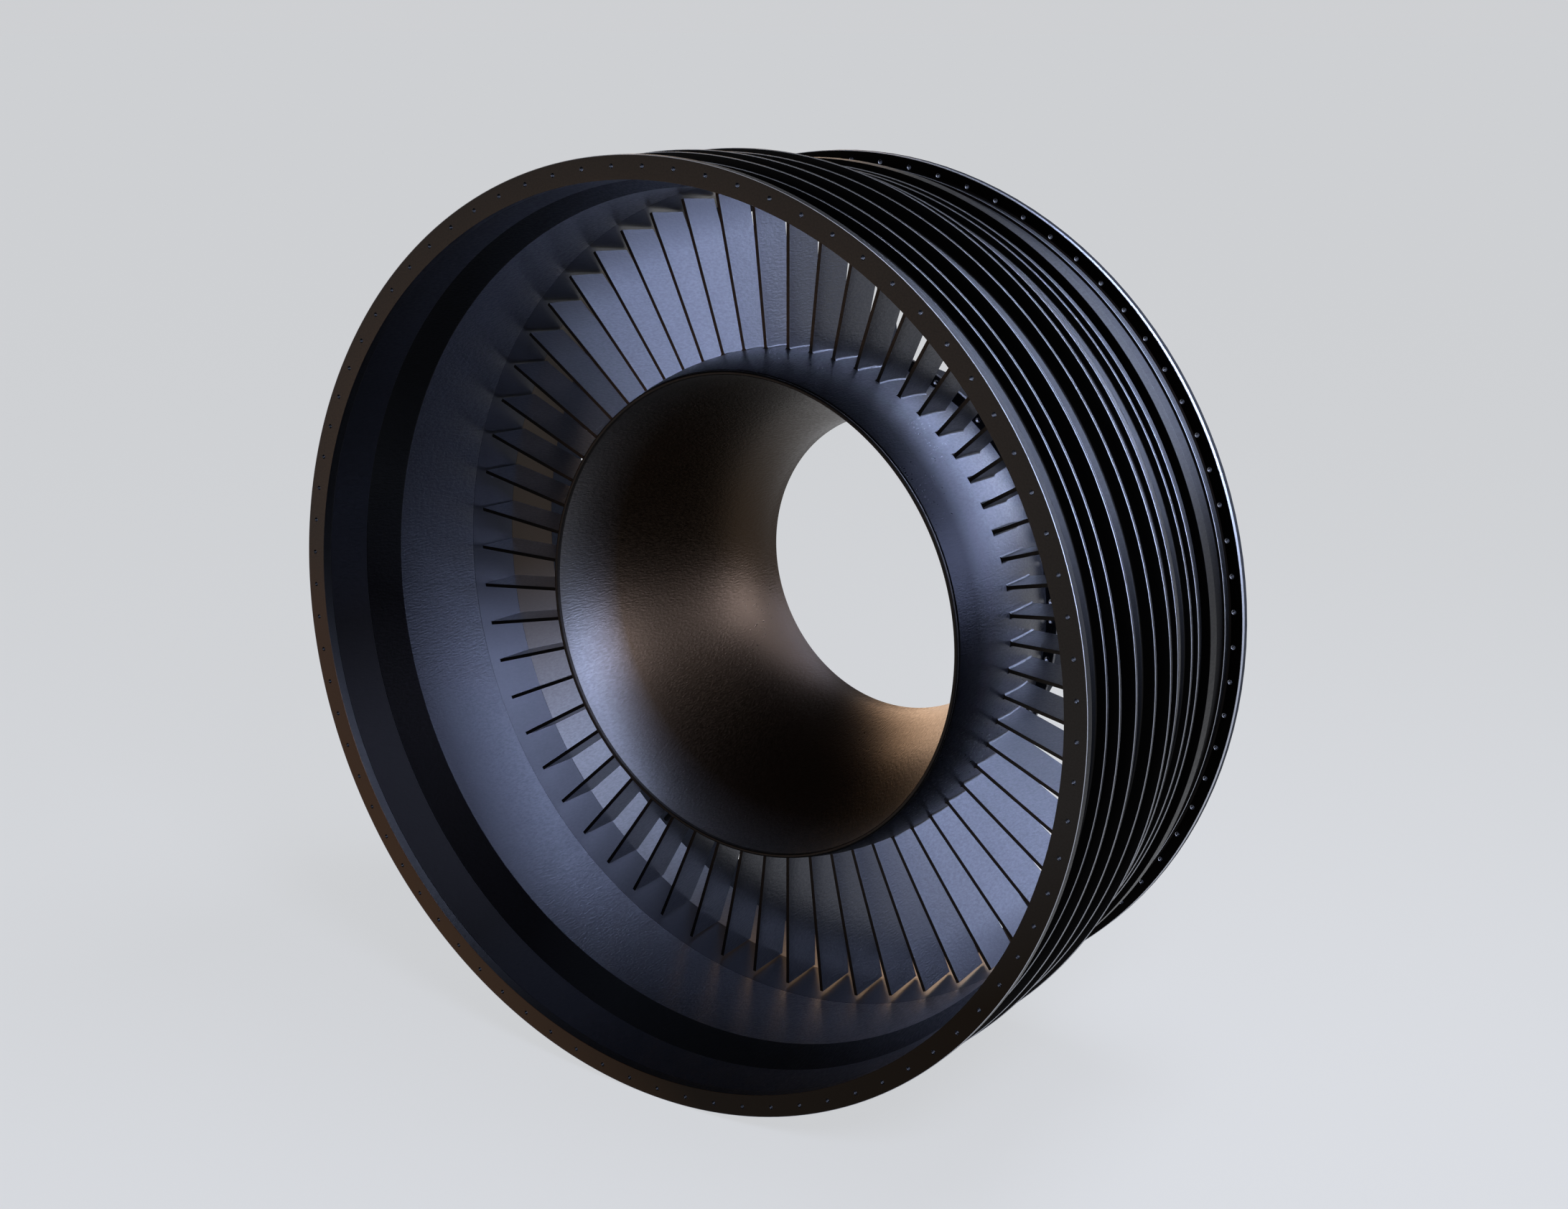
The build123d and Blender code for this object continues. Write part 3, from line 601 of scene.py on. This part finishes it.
spots = step("GeometryNodePoints", {"Count": given["Count"]})[0]
number = step("GeometryNodeInputIndex")[0]
share = step("ShaderNodeMath", {0: math.tau, 1: given["Count"]}, operation="DIVIDE")[0]
turn = step("ShaderNodeMath", {0: number, 1: share, 2: given["First turn"]}, operation="MULTIPLY_ADD")[0]
euler = step("ShaderNodeCombineXYZ", {1: turn})[0]
one = step("GeometryNodeObjectInfo", {"Object": given["Piece"]})["Geometry"]
copies = step("GeometryNodeInstanceOnPoints", {"Points": spots, "Instance": one, "Rotation": euler})[0]
real = step("GeometryNodeRealizeInstances", {0: copies})[0]
dressed = step("GeometryNodeSetMaterial", {"Geometry": real, "Material": given["Finish"]})[0]
ring_tree.links.new(dressed, result[0])
print("ring tree inputs:", sorted(socket))

# %% [markdown]
# ## Using the tree
#
# A ring is made in two steps. First an empty host gets the tree as a modifier, with one copy as its
# piece, and the outcome is read back as a plain mesh. Then its faces join the shape that is being built,
# and each takes a finish by the way it faces: square to the axis, slanted as a chamfer is, or along the
# axis.

# %% Rings from one copy
square_on, slanted = 0.9, 0.3


def ring_of(shape, count, finish, first=0.0):
    """Copies a shape round the axis and gives the ring back as one mesh. first is in degrees."""
    host = link(bpy.data.meshes.new("ring"), "ring")
    source = link(bpy.data.meshes.new("one_copy"), "one_copy")
    shape.to_mesh(source.data)
    shape.free()
    rule = host.modifiers.new("ring", "NODES")
    rule.node_group = ring_tree
    rule[socket["Piece"]] = source
    rule[socket["Count"]] = count
    rule[socket["First turn"]] = math.radians(first)
    rule[socket["Finish"]] = finish
    ring = plain_mesh(host)
    for used in (host, source):
        data = used.data
        bpy.data.objects.remove(used)
        bpy.data.meshes.remove(data)
    return ring


def add_ring(shape, ring, flat=0, mouth=0, wall=0):
    """Adds a ring's faces to a shape. flat, mouth and wall are the finish numbers of faces square to the
    axis, slanted ones and the rest."""
    before = len(shape.faces)
    shape.from_mesh(ring)
    shape.faces.ensure_lookup_table()
    for face in shape.faces[before:]:
        face.normal_update()
        slant = abs(face.normal.y)
        face.material_index = flat if slant > square_on else mouth if slant > slanted else wall
    bpy.data.meshes.remove(ring)


# %% [markdown]
# ## Drilled flanges
#
# A flange is a flat ring with a hole at each step. The lathe can't make holes, so the drilled band is
# left open in the turned section and filled with one small plate with one hole, copied round by the ring
# tree. The plate's arcs have as many steps as the lathe has in that angle, so that the corners meet and
# weld.

# %% One drilled plate
mouth_size, hole_points = 0.35, 18


def stitched(shape, low, high):
    """Joins two loops of as many points with a band of faces."""
    for k in range(len(low)):
        n = (k + 1) % len(low)
        shape.faces.new((low[k], low[n], high[n], high[k]))


def drilled_plate(count, hole, circle, band, front, back):
    """One step of a flange with one hole of radius hole through it, centred at the top. The band is the
    plate's inner and outer radius. Sizes in millimetres."""
    shape = bmesh.new()
    (inner, outer), half, arc = band, math.pi / count, sides // count
    turns = [half * (2 * k / arc - 1) for k in range(arc + 1)]
    edge = [(outer, t) for t in turns] + [(inner, t) for t in reversed(turns)]
    angles = [math.tau * k / hole_points for k in range(hole_points)]
    spread = [Vector((math.cos(angle), 0, math.sin(angle))) for angle in angles]
    circles = []
    for place, inset in ((front, mouth_size), (back, -mouth_size)):
        rim = [shape.verts.new(at(r, place, t)) for r, t in edge]
        middle = Vector((0, place, circle))
        wide = [shape.verts.new((middle + d * (hole + mouth_size)) * mm) for d in spread]
        narrow = [shape.verts.new((middle + d * hole + Vector((0, inset, 0))) * mm) for d in spread]
        lines = [shape.edges.new((loop[k], loop[(k + 1) % len(loop)])) for loop in (rim, wide)
                 for k in range(len(loop))]
        bmesh.ops.triangle_fill(shape, edges=lines, use_beauty=True)
        circles += [wide, narrow] if inset > 0 else [narrow, wide]
    for low, high in zip(circles, circles[1:]):
        stitched(shape, low, high)
    return shape


def open_band(band, *places):
    """Gaps in a turned section that leave a drilled band open at the given places, with half a millimetre
    to either side."""
    return [((band[0], place - 0.5), (band[1], place + 0.5)) for place in places]


bolt_count, bolt_hole = 80, 2.65
print(f"a plate spans {360 / bolt_count:g} degrees, {sides // bolt_count} steps of the lathe")

# %% [markdown]
# ## The ribbed case
#
# The case is one turned ring with nine thin ribs, two flanges and a rounded shoulder where it steps down
# just ahead of the blades. A rib is a thin fin with small round roots, and all nine come from one
# function.
#
# Its skin is dark. Only the corners of the ribs, the outer corner of the front flange and the rim of the
# rear flange are bright: those spans of the section get a second, much brighter metal as a painted
# highlight, so that they show as thin bright lines.
#
# One seam of this piece is known to stay open: the circle at the rear of the front flange where the
# drilled band ends on a rounded corner. The two edges miss each other by about a hundredth of a
# millimetre.

# %% Section of the ribbed case
front_barrel, rear_barrel = 579.0, 566.5
front_rim, rear_rim, rear_flange = 600.0, 584.0, 437.5
front_band, rear_band = (583.5, 594.5), (569.0, 576.5)
front_ribs = [(61.5, 592.0), (79.0, 599.0), (117.0, 600.0), (175.0, 595.0), (209.0, 597.5), (250.5, 587.0)]
rear_ribs = [(311.5, 575.5), (333.0, 574.5)]
land_rib = (419.0, 570.0)
rib_foot, rib_neck, rib_rim = 2.75, 2.7, 2.0
shoulder_front, shoulder_run, shoulder_steps = 264.0, 29.0, 8


def rib(place, tip, foot, root=1.6):
    """Outline of one rib with small round roots, from front to rear. rib_foot, rib_neck and rib_rim are its
    half widths at the wall, above the roots and at the tip."""
    low = root * 0.3
    return [(foot, place - rib_foot - root), (foot + low, place - rib_foot - low),
            (foot + root, place - rib_neck), (tip, place - rib_rim),
            (tip, place + rib_rim), (foot + root, place + rib_neck),
            (foot + low, place + rib_foot + low), (foot, place + rib_foot + root)]


def across(rim_radius, band, place):
    """The three points of a flange face at one place, from its rim inwards over the drilled band."""
    return [(rim_radius, place), (band[1], place), (band[0], place)]


case_section = [(inlet_bore, flange_depth), (inlet_bore, 0.0)] + across(front_rim, front_band, 0.0)[::-1]
case_section += [(front_rim, 9.0), (598.5, 12.5)] + across(595.0, front_band, flange_depth)
case_section += [(582.0, 14.6), (580.0, 16.2), (front_barrel, 19.0)]
for place, tip in front_ribs:
    case_section += rib(place, tip, front_barrel)
drop = front_barrel - rear_barrel
bend = (shoulder_run ** 2 + drop ** 2) / (2 * drop)
for k in range(shoulder_steps + 1):
    ahead = shoulder_run * k / shoulder_steps
    radius = front_barrel - bend + math.sqrt(bend ** 2 - ahead ** 2)
    case_section.append((radius, shoulder_front + ahead))
for place, tip in rear_ribs:
    case_section += rib(place, tip, rear_barrel, 1.0)
case_section += [(rear_barrel, 356.5), (578.5, 356.5), (578.2, 374.5), (rear_barrel, 383.5)]
case_section += rib(*land_rib, rear_barrel, 0.8)
case_section += [(rear_barrel, 435.5), (568.5, rear_flange)] + across(rear_rim, rear_band, rear_flange)[::-1]
case_section += across(rear_rim, rear_band, case_rear)
case_section += [(rear_wall, case_rear), (rear_wall, duct_end), (middle_wall, duct_end),
                 (middle_wall, ramp_end), (front_wall, ramp_end), (front_wall, flange_depth)]
print("points in the case's section:", len(case_section))

# %% The ribbed case with its flange holes
corner_radius = 0.6
# These spans of each rib take the brighter metal of the painted highlight.
bright_from, bright_to = 0.8, 2.1
front_bright, rear_bright, rear_bright_from = 599.45, 583.4, 437.0
front_circle, rear_circle = 587.0, 572.5


# Finish 1 here is the brighter metal of the painted highlight.
def case_finish(radius, place):
    """0 for the dark skin, 1 for bright corners and rims, and 2 for the front flange's face."""
    if place < corner_radius:
        return 1 if radius > front_bright else 2
    for middle, tip in front_ribs + rear_ribs + [land_rib]:
        if bright_from < abs(place - middle) < bright_to and radius > tip - corner_radius:
            return 1
    return int(radius > rear_bright and place > rear_bright_from)


case = turned(rounded(case_section, corner_radius, 2), finish_of=case_finish,
              gaps=open_band(front_band, 0.0, flange_depth) + open_band(rear_band, rear_flange, case_rear))
front_plate = drilled_plate(bolt_count, bolt_hole, front_circle, front_band, 0.0, flange_depth)
add_ring(case, ring_of(front_plate, bolt_count, flange_steel), 2, 2, 0)
rear_plate = drilled_plate(bolt_count, bolt_hole, rear_circle, rear_band, rear_flange, case_rear)
# The rear flange's hole mouths take the brighter metal as painted glints.
add_ring(case, ring_of(rear_plate, bolt_count, case_skin), 0, 1, 0)
finished(case, "ribbed_case", case_finishes, "case", ["outer_case"])

# %% [markdown]
# ## The blades
#
# Each blade is a thin flat sheet, set on edge between the hub and the duct. It is lofted here: a ring of
# points runs round the sheet's section, and copies of it climb from the hub's curved surface to the
# sloping tip. The lowest copies are wider, which gives the small weld flare at the foot. The ring tree
# then makes sixty of them.

# %% The surfaces that a blade meets
hub_crown, hub_arc, hub_top = 305.0, 377.07, 339.0
tip_front, tip_fall, tip_start, tip_run = 549.5, 4.5, 292.0, 66.0


def hub_radius(place):
    """Radius of the hub's barrel-shaped surface at an axial place."""
    return hub_top - hub_arc + math.sqrt(hub_arc ** 2 - (place - hub_crown) ** 2)


def tip_radius(place):
    """Radius of the blade tips, which follow the tapering duct."""
    return tip_front - tip_fall * (place - tip_start) / tip_run


print(f"a blade reaches from {hub_radius(hub_crown):.1f} to {tip_radius(hub_crown):.1f} mm")

# %% One blade
blade_count, blade_front, blade_rear, blade_half = 60, 293.0, 357.0, 2.5
stations = [0.0, 0.003, 0.2, 0.4, 0.6, 0.8, 0.997, 1.0]
edge_cut = 0.2
levels = [("foot", 0.02, 2.4), ("foot", 0.5, 1.5), ("foot", 1.2, 0.7), ("foot", 2.6, 0.0),
          ("span", 0.35, 0.0), ("span", 0.7, 0.0), ("tip", 0.5, 0.0), ("tip", 0.0, -0.4)]


def blade_level(kind, height, place):
    """Radius of a level at one place: height above the hub, below the tip, or as a share of the span."""
    low, high = hub_radius(place), tip_radius(place)
    if kind == "foot":
        return low + height
    if kind == "tip":
        return high - height
    return low + height * (high - low)


def blade():
    """One blade at the top, as a closed skin of sections from foot to tip. stations are shares of its
    depth, and each level adds its flare to the half thickness."""
    shape = bmesh.new()
    rows = []
    for kind, height, flare in levels:
        row = []
        for side in (-1, 1):
            for s in (stations if side < 0 else reversed(stations)):
                cut = edge_cut if s in (0.0, 1.0) else 0.0
                place = blade_front + s * (blade_rear - blade_front)
                across_blade = side * (blade_half + flare - cut)
                point = Vector((across_blade, place, blade_level(kind, height, place)))
                row.append(shape.verts.new(point * mm))
        rows.append(row)
    for low, high in zip(rows, rows[1:]):
        stitched(shape, low, high)
    half = len(stations)
    for row in (rows[0], rows[-1]):
        for k in range(half - 1):
            shape.faces.new((row[k], row[k + 1], row[2 * half - 2 - k], row[2 * half - 1 - k]))
    bmesh.ops.recalc_face_normals(shape, faces=shape.faces)
    return shape


# %% The ring of blades
blades = bmesh.new()
# Faces square to the axis, the blade edges, take the almost black metal as painted shade.
add_ring(blades, ring_of(blade(), blade_count, blade_steel), 1)
finished(blades, "blade_ring", [blade_steel, edge_shade_black], "rotor", ["blade_row"], sharp=50.0)

# %% [markdown]
# ## The hub
#
# The blades stand on a barrel-shaped drum. Its outer line is one long arc with its crown under the
# blades, and its wall grows thicker to the rear. A collar inside carries the bowl. At the rear the drum
# ends in a balance flange: small holes there take the weights that balance the wheel.

# %% The hub drum
hub_front, hub_length, hub_rear = 198.0, 216.0, 414.0
outer_steps, inner_steps, collar_step = 36, 24, 14
skin_front, skin_growth, drum_corner = 2.5, 3.5, 0.8
balance_rear, balance_rim = 420.0, 338.5
balance_band, balance_circle, balance_hole = (326.0, 334.0), 330.0, 3.3
shaft_seat, shaft_seat_front, shaft_seat_rim = 278.9, 412.0, 316.9
collar_bore, collar_front, collar_rear, collar_sink = 305.6, 323.0, 328.0, 0.3


def hub_place(k, steps):
    """Axial place of step k out of steps along the hub."""
    return hub_front + hub_length * k / steps


drum_section = [(hub_radius(hub_place(k, outer_steps)), hub_place(k, outer_steps))
                for k in range(outer_steps + 1)]
drum_section += across(balance_rim, balance_band, hub_rear)[::-1]
drum_section += across(balance_rim, balance_band, balance_rear)
drum_section += [(shaft_seat, balance_rear), (shaft_seat, shaft_seat_front),
                 (shaft_seat_rim, shaft_seat_front)]
inner_line = [(hub_radius(hub_place(k, inner_steps)) - skin_front - skin_growth * k / inner_steps,
               hub_place(k, inner_steps)) for k in range(inner_steps)]
collar = [(inner_line[collar_step + 1][0] - collar_sink, collar_rear), (collar_bore, collar_rear),
          (collar_bore, collar_front), (inner_line[collar_step][0] - collar_sink, collar_front)]
drum_section += inner_line[collar_step + 1:][::-1] + collar + inner_line[:collar_step][::-1]
drum = turned(rounded(drum_section, drum_corner), gaps=open_band(balance_band, hub_rear, balance_rear))
balance_plate = drilled_plate(bolt_count, balance_hole, balance_circle, balance_band, hub_rear, balance_rear)
add_ring(drum, ring_of(balance_plate, bolt_count, hub_steel))
finished(drum, "hub_barrel", [hub_steel], "rotor", ["hub_drum"])

# %% [markdown]
# ## The bowl
#
# A thin spun bowl closes the hub. It is wide at the front and narrows to an open throat that an inner
# shaft can pass. Spinning leaves such a wall very smooth, so its line is one Bezier curve, and its lip is
# rolled into a small bead that stiffens the edge; the bead is almost black as painted shade. A flange on
# its outside is screwed to the drum's collar.

# %% The wall of the bowl
throat, throat_front, throat_rear, bowl_wall = 214.5, 545.0, 567.0, 3.5
lip_inset = 6.2
lip = hub_radius(hub_front) - lip_inset
controls = [Vector((lip, hub_front)), Vector((lip - 10.0, 348.0)), Vector((throat, 425.0)),
            Vector((throat, throat_front))]


def wall_line(offset, steps=48):
    """Points of the bowl's wall from lip to throat, moved outward by offset."""
    line = []
    for k in range(steps + 1):
        s = k / steps
        weights = ((1 - s) ** 3, 3 * s * (1 - s) ** 2, 3 * s * s * (1 - s), s ** 3)
        point = sum((c * w for c, w in zip(controls, weights)), Vector((0, 0)))
        line.append((point.x + offset, point.y))
    return line


print(f"bowl: lip radius {lip:.1f} mm, throat radius {throat} mm")

# %% The hub bowl
seat_front, seat_rear, seat_rim = 314.7, 322.7, 320.0
bead_radius, bead_steps, bead_start, bead_sweep = 2.8, 14, 71, 229
bead_offset, bead_place, bead_end = 2.6, 195.0, 197.9
outer_line = wall_line(bowl_wall)[::-1]
before = [p for p in outer_line if p[1] > seat_rear]
after = [p for p in outer_line if p[1] < seat_front]
bead = []
for k in range(bead_steps + 1):
    angle = math.radians(bead_start - bead_sweep * k / bead_steps)
    bead.append((lip + bead_offset + bead_radius * math.cos(angle),
                 bead_place + bead_radius * math.sin(angle)))
bowl_section = wall_line(0.0) + [(throat, throat_rear), (throat + bowl_wall, throat_rear)] + before
bowl_section += [(before[-1][0], seat_rear), (seat_rim, seat_rear), (seat_rim, seat_front),
                 (after[0][0], seat_front)] + after + bead
# The bead takes the almost black metal as painted shade.
bowl = turned(bowl_section, finish_of=lambda radius, place: int(place < bead_end))
finished(bowl, "spun_bowl", [bowl_steel, edge_shade_black], "rotor", ["hub_bowl"])

# %% [markdown]
# ## Socket screws
#
# Four rings of M5 screws hold the bowl, the shaft, the bearing housing and the exit frame. A socket screw
# is a turned pin with a wide head and a six-sided hole for the key. It is made as a stack of loops round
# its own axis: each loop is a circle, except those of the key hole, whose radius swings between the flats
# and the corners. The ring tree then sets out each group, so a screw's shape is written only once.

# %% One socket screw
pin_radius, head_radius, head_height = 2.5, 4.5, 5.0
key_flat, key_depth, screw_points = 2.0, 2.5, 24


def socket_screw(tip, seat, circle):
    """One screw at the top. Its pin ends at tip, and its head stands behind the seat. Sizes in
    millimetres. Each loop is a radius, a place and whether it has six sides."""
    top = seat + head_height
    loops = [(2.1, tip, False), (pin_radius, tip + 0.4, False), (pin_radius, seat, False),
             (4.4, seat, False), (head_radius, seat + 0.1, False), (head_radius, top - 0.5, False),
             (4.37, top - 0.15, False), (4.0, top, False), (2.55, top, False),
             (key_flat, top - 0.25, True), (key_flat, top - key_depth, True)]
    shape = bmesh.new()
    rings = []
    for radius, place, sided in loops:
        ring = []
        for k in range(screw_points):
            turn = math.tau * k / screw_points
            out = radius / math.cos(turn % (math.pi / 3) - math.pi / 6) if sided else radius
            height = (circle + out * math.cos(turn)) * mm
            ring.append(shape.verts.new((out * math.sin(turn) * mm, place * mm, height)))
        rings.append(ring)
    for low, high in zip(rings, rings[1:]):
        stitched(shape, low, high)
    shape.faces.new(rings[0])
    shape.faces.new(reversed(rings[-1]))
    return shape


# %% The four rings of screws
half_step = 180.0 / bolt_count
for name, body, node, tip, seat, circle, count, first in [
        ("bowl_socket_screws", "rotor", "bowl_screws", 316.7, 328.0, 312.57, 24, 0.0),
        ("shaft_socket_screws", "rotor", "shaft_bolts", 406.5, 428.0, 293.9, 24, 0.0),
        ("housing_socket_screws", "case", "housing_screws", 518.0, 559.0, 285.0, 20, half_step),
        ("frame_socket_screws", "case", "frame_screws", 439.0, 451.5, 567.0, 20, half_step)]:
    screws = bmesh.new()
    add_ring(screws, ring_of(socket_screw(tip, seat, circle), count, screw_steel, first))
    finished(screws, name, [screw_steel], body, [node], sharp=40.0)
